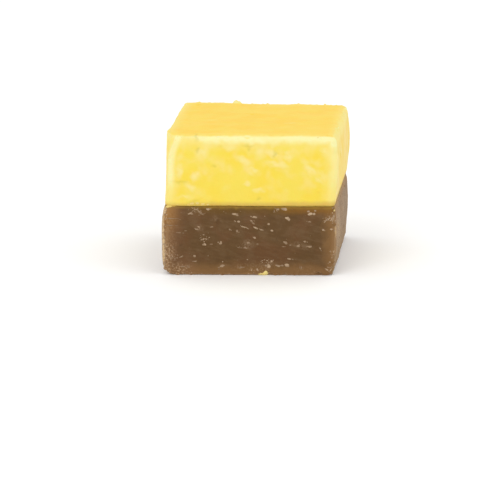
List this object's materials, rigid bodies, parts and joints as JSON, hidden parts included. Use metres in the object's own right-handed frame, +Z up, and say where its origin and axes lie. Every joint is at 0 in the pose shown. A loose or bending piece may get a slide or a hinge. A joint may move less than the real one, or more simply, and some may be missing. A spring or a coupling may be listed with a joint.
{
  "type": "fudge cube",
  "caption": "Layered fudge cube, chocolate below and yellow above, with softly worn cut edges, standing on its flat base.",
  "frame": {"origin": "middle of the resting face, under the centre of the bounding box", "axes": "+Z up through the layers, -Y out of the front cut face, +X to the right of it"},
  "size_m": [0.0298, 0.0304, 0.0233],
  "materials": {
    "chocolate_fudge": "matte chocolate fudge with pale sugar specks and crumbly edges",
    "yellow_fudge": "smooth satin yellow fudge, mottled with cream, paler along its edges"
  },
  "bodies": {
    "root": {"chocolate_layer": "chocolate_fudge", "yellow_layer": "yellow_fudge"}
  },
  "joints": []
}
